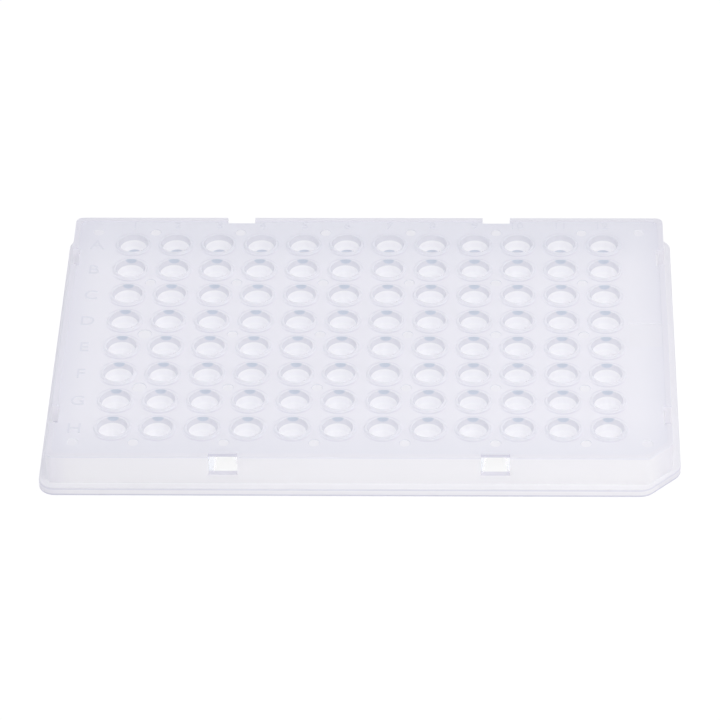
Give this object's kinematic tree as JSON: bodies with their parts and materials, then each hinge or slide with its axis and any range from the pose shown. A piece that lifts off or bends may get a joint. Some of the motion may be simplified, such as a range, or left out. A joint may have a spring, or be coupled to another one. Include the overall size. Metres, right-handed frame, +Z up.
{
  "type": "well plate",
  "caption": "Low-profile well plate: a grid of thin conical tubes with raised rims in a stepped, open-bottomed tray, with grip notches and one keyed corner.",
  "frame": {"origin": "middle of the standard footprint in X and Y, level with the tips of the tubes", "axes": "+X along the twelve columns (the long side), from column 1 to column 12; +Y from the keyed long side towards row A; +Z up, out of the wells"},
  "size_m": [0.1278, 0.0854, 0.0155],
  "materials": {
    "polypropylene": "natural translucent polypropylene, satin moulded surface, faint lavender cast"
  },
  "bodies": {
    "root": {"well_plate": "polypropylene"}
  },
  "joints": []
}
